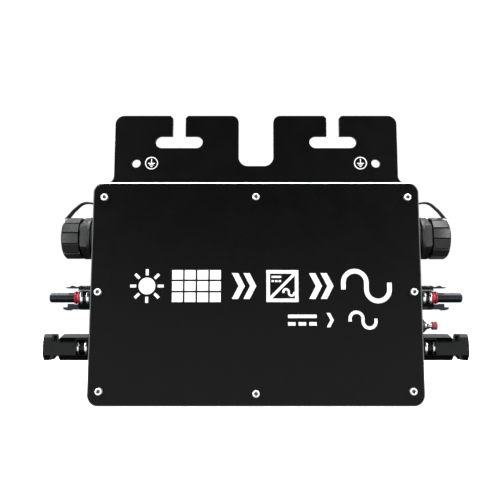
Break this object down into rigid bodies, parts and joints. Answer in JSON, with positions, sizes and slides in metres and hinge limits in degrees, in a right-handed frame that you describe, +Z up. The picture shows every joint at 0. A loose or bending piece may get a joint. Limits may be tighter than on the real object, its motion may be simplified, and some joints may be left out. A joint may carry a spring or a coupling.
{
  "type": "solar micro inverter",
  "caption": "Flat black grid-tie solar inverter with slotted mounting ears, bevelled screwed cover, capped screw outlets, latching solar plugs and sockets, and a side push button.",
  "frame": {"origin": "middle of the bounding box in X and Y, at the bottom edge of the box", "axes": "+X to the right seen from the front cover, +Y towards the cooling fins at the back, +Z up towards the mounting ears"},
  "size_m": [0.3184, 0.0436, 0.2183],
  "materials": {
    "housing_paint": "matt black powder coat",
    "cover_paint": "matt black powder coat with a bare bevelled edge",
    "gasket_rubber": "dull",
    "screw_steel": "bright zinc",
    "white_ink": "screen print",
    "black_plastic": "fine moulded grain",
    "gloss_plastic": "smooth moulded",
    "insert_plastic": "moulded",
    "black_rubber": "dull",
    "red_rubber": "silicone",
    "nickel": "nickel plate",
    "tinned_copper": "tinned",
    "button_red": "smooth",
    "spring_steel": "drawn",
    "board_green": "solder mask",
    "ferrite": "sintered",
    "winding_tape": "polyester tape",
    "copper_wire": "enamelled",
    "can_sleeve": "shrink sleeve",
    "film_yellow": "moulded",
    "relay_case": "moulded",
    "fuse_glass": "clear",
    "chip_epoxy": "moulded",
    "pad_grey": "silicone",
    "wire_jacket": "extruded",
    "core_green": "coated",
    "bar_aluminium": "mill"
  },
  "bodies": {
    "inverter": {"housing": "housing_paint", "mounting_frame": "housing_paint", "front_cover": "cover_paint", "cover_gasket": "gasket_rubber", "cover_screws": "screw_steel", "front_print": "white_ink", "earth_marks": "white_ink", "button_collar": "black_plastic", "button_bush": "nickel", "button_nut": "nickel", "button_switch": "black_plastic", "button_spring": "spring_steel", "circuit_board": "board_green", "board_screws": "screw_steel", "transformer_cores": "ferrite", "transformer_windings": "winding_tape", "storage_capacitors": "can_sleeve", "film_capacitors": "film_yellow", "choke_core": "core_green", "choke_turns": "copper_wire", "relays": "relay_case", "fuse": "fuse_glass", "fuse_clips": "nickel", "control_chips": "chip_epoxy", "power_transistors": "chip_epoxy", "transistor_pads": "pad_grey", "clamp_bar": "bar_aluminium", "clamp_screws": "screw_steel", "dc_leads": "wire_jacket", "ac_leads": "wire_jacket", "ac_pins": "tinned_copper", "ac_seals": "black_rubber", "ac_lock_nuts": "black_plastic", "pv_lock_nuts": "black_plastic", "pv_plug_contacts": "tinned_copper", "pv_socket_contacts": "tinned_copper", "pv_rings": "nickel", "ac_socket_right": "black_plastic", "ac_socket_left": "black_plastic", "ac_insert_right": "insert_plastic", "ac_insert_left": "insert_plastic", "tether_anchor_right": "black_rubber", "tether_anchor_left": "black_rubber", "tether_strap_right": "black_rubber", "tether_strap_left": "black_rubber", "pv_plug_right": "gloss_plastic", "pv_plug_left": "gloss_plastic", "pv_plug_seal_right": "red_rubber", "pv_plug_seal_left": "red_rubber", "pv_socket_right": "black_plastic", "pv_socket_left": "black_plastic"},
    "button": {"button_stem": "nickel", "button_cap": "button_red"},
    "tether_end_right": {"tether_ring_right": "black_rubber"},
    "cap_right": {"dust_cap_right": "black_plastic", "cap_seal_right": "black_rubber"},
    "tether_end_left": {"tether_ring_left": "black_rubber"},
    "cap_left": {"dust_cap_left": "black_plastic", "cap_seal_left": "black_rubber"}
  },
  "joints": [
    {"name": "button_press", "type": "slide", "parent": "inverter", "child": "button", "axis": [-1, 0, 0], "range_m": [0, 0.0018], "stiffness_N_per_m": 400, "springref_m": -0.002, "deforming": ["button_spring"]},
    {"name": "tether_slide_right", "type": "slide", "parent": "inverter", "child": "tether_end_right", "axis": [1, 0, 0], "range_m": [0, 0.012], "deforming": ["tether_strap_right"]},
    {"name": "cap_turn_right", "type": "hinge", "parent": "tether_end_right", "child": "cap_right", "pos_m": [0.14, 0.0012, 0.125], "axis": [1, 0, 0], "range_deg": [0, 1440]},
    {"name": "tether_slide_left", "type": "slide", "parent": "inverter", "child": "tether_end_left", "axis": [-1, 0, 0], "range_m": [0, 0.012], "deforming": ["tether_strap_left"]},
    {"name": "cap_turn_left", "type": "hinge", "parent": "tether_end_left", "child": "cap_left", "pos_m": [-0.14, 0.0012, 0.125], "axis": [-1, 0, 0], "range_deg": [0, 1440]}
  ],
  "couplings": [
    {"joint": "cap_turn_right", "follows": "tether_slide_right", "rad_per_m": 2094.4},
    {"joint": "cap_turn_left", "follows": "tether_slide_left", "rad_per_m": 2094.4}
  ]
}
